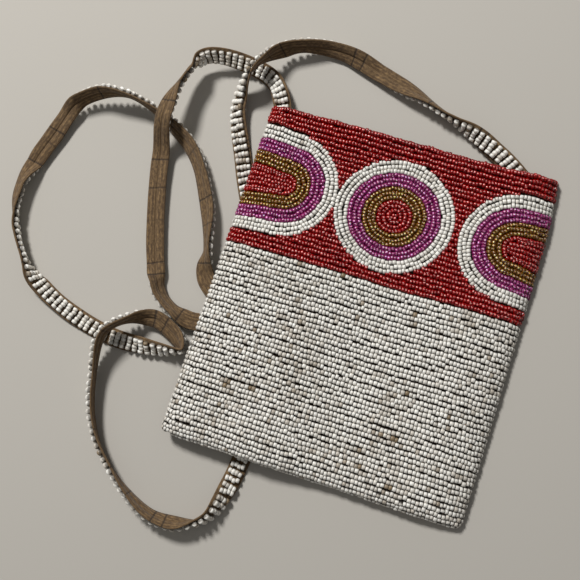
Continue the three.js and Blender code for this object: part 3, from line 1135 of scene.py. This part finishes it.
class BAG_OT_strap(bpy.types.Operator):
    """Lays the strap's folded tape along its route and sews rows of beads across its face"""

    bl_idname = "bag.strap"
    bl_label = "Strap"

    def execute(self, context):
        size = sizes()
        draw = random.Random(SEEDS["strap"])
        tape_middle = (size.tape_thickness - size.strap_thickness) / 2
        frames = [
            (point + facing * tape_middle, along, across, facing)
            for point, along, across, facing in strap_frames()
        ]
        path = [here[0] for here in frames]
        reach = distances(path)
        tape = self.lay_tape(frames, reach)
        beads = self.sew_rows(frames, reach, draw)
        return {"FINISHED"}

    def lay_tape(self, frames, reach):
        """The tape: a sheet of squares bent round its section and along the strap."""
        half = [(x * MM, y * MM) for x, y in TAPE_HALF_SECTION]
        section = half + [(-x, y) for x, y in half[-2:0:-1]]
        around, steps = len(section), len(frames) - 1
        perimeter = 2 * sum(math.dist(before, after) for before, after in zip(half, half[1:]))
        shape = bmesh.new()
        uv = shape.loops.layers.uv.new("tape")
        bmesh.ops.create_grid(shape, x_segments=around, y_segments=steps, size=0.5)
        for face in shape.faces:
            face.smooth = True
            for loop in face.loops:
                along = reach[round((loop.vert.co.y + 0.5) * steps)]
                loop[uv].uv = ((loop.vert.co.x + 0.5) * perimeter / MM, along / MM)
        for vert in shape.verts:
            corner = section[round((vert.co.x + 0.5) * around) % around]
            step = round((vert.co.y + 0.5) * steps)
            vert.co = tape_corner(reach[step], frames[step], corner)
        bmesh.ops.remove_doubles(shape, verts=shape.verts, dist=0.001 * MM)
        bmesh.ops.holes_fill(shape, edges=[edge for edge in shape.edges if edge.is_boundary])
        bmesh.ops.recalc_face_normals(shape, faces=shape.faces)
        tape = add_piece("strap_tape", shape, "tape")
        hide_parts("strap")
        return tape

    def sew_rows(self, frames, reach, draw):
        """Rows of beads across the tape, their thread running across the strap."""
        size = sizes()
        seat_height = size.strap_thickness - (size.tape_thickness + size.strap_bead_diameter) / 2
        rows = round(reach[-1] / size.strap_row_pitch)
        places = []
        step = 0
        for row in range(rows):
            distance = (row + 0.5) * reach[-1] / rows + draw.gauss(0, STRAP_ROW_STRAY) * MM
            while step < len(reach) - 2 and reach[step + 1] < distance:
                step += 1
            share = within((distance - reach[step]) / (reach[step + 1] - reach[step]))
            point, along, across, facing = (
                before.lerp(after, share) for before, after in zip(frames[step], frames[step + 1])
            )
            slant = draw.gauss(0, STRAP_ROW_SLANT)
            thread = (across + slant * along).normalized()
            for i in range(STRAP_BEADS_ACROSS):
                offset = (i - (STRAP_BEADS_ACROSS - 1) / 2) * size.strap_bead_pitch
                place = point + thread * offset + facing * seat_height
                extent = (size.strap_bead_pitch, size.strap_bead_diameter)
                places.append(bead_place(place, thread, facing, extent, draw))
        # The strap's beads get less of the white glass's painted shade than the pouch's
        beads = bead_piece("strap_bead_rows", places, "white", draw, handled=1.2, painted_shade_share=0.78)
        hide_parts("strap")
        return beads


class BAG_OT_panels(bpy.types.Operator):
    """Cuts the front and back cloth of the pouch, the front with its edges turned down to the back"""

    bl_idname = "bag.panels"
    bl_label = "Cloth panels"

    def execute(self, context):
        front_panel = self.cut("front_panel", front_side=True)
        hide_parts("front_cloth")
        back_panel = self.cut("back_panel", front_side=False)
        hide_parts("back_cloth")
        return {"FINISHED"}

    def cut(self, name, front_side):
        """One panel: a grid of squares laid to the pouch's outline, with its thickness inwards."""
        size = sizes()
        shape = bmesh.new()
        bmesh.ops.create_grid(shape, x_segments=48, y_segments=60, size=0.5)
        mouth = MOUTH_Y - size.bead_diameter / 2
        at_mouth = 0.499
        closer_at_foot = 1.5
        sewn = [
            edge
            for edge in shape.edges
            if edge.is_boundary and not all(vert.co.y > at_mouth for vert in edge.verts)
        ]
        for vert in shape.verts:
            y = cloth_foot() + (mouth - cloth_foot()) * (vert.co.y + 0.5) ** closer_at_foot
            x = cloth_edge(y) * math.sin(math.pi * vert.co.x)
            z = front(x, y) if front_side else underside(x) + size.cloth
            vert.co = drawn(Vector((x, y, z)))
        if front_side:
            turned = bmesh.ops.extrude_edge_only(shape, edges=sewn)["geom"]
            for vert in turned:
                if isinstance(vert, bmesh.types.BMVert):
                    vert.co.z = underside(vert.co.x) + size.cloth
        bmesh.ops.recalc_face_normals(shape, faces=shape.faces)
        for face in shape.faces:
            face.smooth = True
        panel = add_piece(name, shape, "cloth")
        thick = panel.modifiers.new("thickness", "SOLIDIFY")
        thick.thickness = size.cloth
        thick.offset = -1.0
        return panel


class BAG_OT_field(bpy.types.Operator):
    """Strings the white field's straight rows, in a lower and an upper piece"""

    bl_idname = "bag.field"
    bl_label = "White field"

    def execute(self, context):
        size = sizes()
        draw = random.Random(SEEDS["field"])
        rows = round((FIELD_HIGH.y - FIELD_LOW.y) / size.row_pitch)
        lower = self.foot_row(draw)
        upper = []
        for row, y in enumerate(self.row_places(rows)):
            line = across_front(y, wave=size.row_wave)
            beads = string_beads(line, "white", draw, FIELD_BEAD_SHARE * size.bead_diameter)
            (lower if row < rows // 2 else upper).extend(beads)
        for name, places in (("lower_field_rows", lower), ("upper_field_rows", upper)):
            piece = bead_piece(name, places, "white", draw)
            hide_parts("field_beads")
        return {"FINISHED"}

    def row_places(self, rows):
        """Where the rows lie in y, evenly spaced over the front and its rolled closed end."""
        size = sizes()
        past_fold = 0.05 * MM
        low = cloth_foot() + past_fold
        high = FIELD_HIGH.y - size.row_pitch / 2
        samples = 400
        heights = [low + (high - low) * i / samples for i in range(samples + 1)]
        middles = [seat(0.0, y, size.bead_diameter / 2)[0] for y in heights]
        reach = distances(middles)
        spots = [reach[-1] * row / (rows - 1) for row in range(rows)]
        return [heights[min(range(samples + 1), key=lambda i: abs(reach[i] - spot))] for spot in spots]

    def foot_row(self, draw):
        """The last row, which lies on the turned edge of the closed end."""
        size = sizes()
        outward = Vector((0.0, -1.0, 0.0))
        half = FOOT_HALF_WIDTH - size.corner
        below_rim = 0.75
        steps = 40
        line = []
        for i in range(steps + 1):
            x = half * (2 * i / steps - 1)
            z = underside(x) + size.rim - size.bead_diameter * below_rim
            line.append((drawn(Vector((x, FOOT_Y + size.bead_diameter / 2, z))), outward))
        return string_beads(line, "white", draw)


class BAG_OT_band(bpy.types.Operator):
    """Strings the red band's straight rows between the motifs, and the hem of the mouth"""

    bl_idname = "bag.band"
    bl_label = "Red band"

    def execute(self, context):
        size = sizes()
        draw = random.Random(SEEDS["band"])
        rows = round((BAND_HIGH.y - BAND_LOW.y) / size.row_pitch)
        pitch = (BAND_HIGH.y - BAND_LOW.y) / rows
        places = []
        for row in range(rows):
            y = BAND_LOW.y + (row + 0.5) * pitch
            for start, end in self.stretches(y):
                line = across_front(y, start, end, wave=size.row_wave)
                places.extend(string_beads(line, "red", draw))
        band = bead_piece("band_rows", places, "red", draw)
        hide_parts("band_beads")
        hem = bead_piece("hem_rows", self.hem(draw), "red", draw)
        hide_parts("mouth_hem")
        return {"FINISHED"}

    def stretches(self, y):
        """What the motifs leave of a row, as starts and ends; None stands for a side of the pouch."""
        tucked_under = 0.3 * MM
        shortest = 1.2 * MM
        found = []
        start = None
        open_end = True
        for name, side in MOTIFS.items():
            x, middle, radius = motif_round(name)
            reach = radius - tucked_under
            away = abs(y - middle) / (1.0 if side else CENTRE_SQUASH)
            if away >= reach:
                continue
            half = math.sqrt(reach**2 - away**2)
            if side >= 0:
                found.append((start, x - half))
            start = x + half
            open_end = side <= 0
        if open_end:
            found.append((start, None))
        return [s for s in found if None in s or s[1] - s[0] > shortest]

    def hem(self, draw):
        """Two rows rolled over the edge of the mouth, a little wavy."""
        places = []
        for inset, drop in HEM_ROWS:
            y = MOUTH_Y - inset * MM
            ends = (None, None)
            if drop:
                ends = (-cloth_edge(y), cloth_edge(y))
            line = []
            for point, facing in across_front(y, *ends):
                bump = noise.noise(Vector((point.x / (HEM_WAVE * MM), inset, 2.0)))
                stray = Vector((0.0, HEM_STRAY[0] * bump, HEM_STRAY[1] * bump - drop)) * MM
                line.append((point + stray, facing))
            places.extend(string_beads(line, "red", draw))
        return places


class BAG_OT_motifs(bpy.types.Operator):
    """Strings the rings of the three motifs and the red rows inside them"""

    bl_idname = "bag.motifs"
    bl_label = "Motifs"

    def execute(self, context):
        size = sizes()
        pitch = size.ring_pitch
        draw = random.Random(SEEDS["motifs"])
        for name, side in MOTIFS.items():
            x, y, radius = motif_round(name)
            rings = {finish: [] for finish in RING_COLOURS}
            outer = radius - pitch / 2
            for finish in RING_COLOURS:
                diameter = size.ring_diameter if finish == "white" else size.lined_diameter
                for i in range(RINGS_PER_COLOUR):
                    line = self.lay(side, x, y, outer)
                    rings[finish].extend(string_beads(line, finish, draw, diameter))
                    outer -= pitch
            rings["red"] = self.core(side, x, y, outer, draw)
            for finish, places in rings.items():
                node = "core" if finish == "red" else finish
                piece = bead_piece(f"{name}_{node}_rows", places, finish, draw, handled=0.4)
                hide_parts(f"{name}_motif_{node}")
        return {"FINISHED"}

    def lay(self, side, x, y, radius):
        """Middle line of a ring of the centre motif, or of an arch that runs out over a side."""
        if side:
            return arch(side, x, y, radius)
        return ring(x, y, radius, squash=CENTRE_SQUASH)

    def core(self, side, x, y, outer, draw):
        """A motif's middle: rings to the last bead, or one arch round straight rows."""
        pitch = sizes().ring_pitch
        places = string_beads(self.lay(side, x, y, outer), "red", draw)
        if side == 0:
            for radius in (outer - pitch, outer - 2 * pitch, CORE_EYE_SHARE * pitch):
                places.extend(string_beads(self.lay(side, x, y, radius), "red", draw))
            return places
        for row, tip in CORE_ROWS:
            start = x - side * tip * MM
            ends = (None, start) if side < 0 else (start, None)
            line = across_front(y + CORE_ROW_SHARE * row * pitch, *ends)
            places.extend(string_beads(line, "red", draw))
        return places


class BAG_PT_panel(bpy.types.Panel):
    """The bag's operators, sizes and colours"""

    bl_label = "Beaded crossbody bag"
    bl_idname = "BAG_PT_panel"
    bl_space_type = "VIEW_3D"
    bl_region_type = "UI"
    bl_category = "Bag"

    def draw(self, context):
        for operator in OPERATORS:
            self.layout.operator(operator.bl_idname)
        for group in (sizes(), colours()):
            for name in group.bl_rna.properties.keys():
                if name not in ("rna_type", "name"):
                    self.layout.prop(group, name)


OPERATORS = (
    BAG_OT_stage,
    BAG_OT_strap,
    BAG_OT_panels,
    BAG_OT_field,
    BAG_OT_band,
    BAG_OT_motifs,
)
CLASSES = (BagSizes, BagColours, *OPERATORS, BAG_PT_panel)


def register():
    """Adds the bag's classes and settings to Blender."""
    for cls in CLASSES:
        bpy.utils.register_class(cls)
    bpy.types.Scene.bag_sizes = bpy.props.PointerProperty(type=BagSizes)
    bpy.types.Scene.bag_colours = bpy.props.PointerProperty(type=BagColours)


def unregister():
    """Takes them out again."""
    del bpy.types.Scene.bag_colours
    del bpy.types.Scene.bag_sizes
    for cls in reversed(CLASSES):
        bpy.utils.unregister_class(cls)


def main():
    """Makes the whole bag."""
    register()
    bpy.ops.bag.stage()
    bpy.ops.bag.strap()
    bpy.ops.bag.panels()
    bpy.ops.bag.field()
    bpy.ops.bag.band()
    bpy.ops.bag.motifs()


if __name__ == "__main__":
    main()
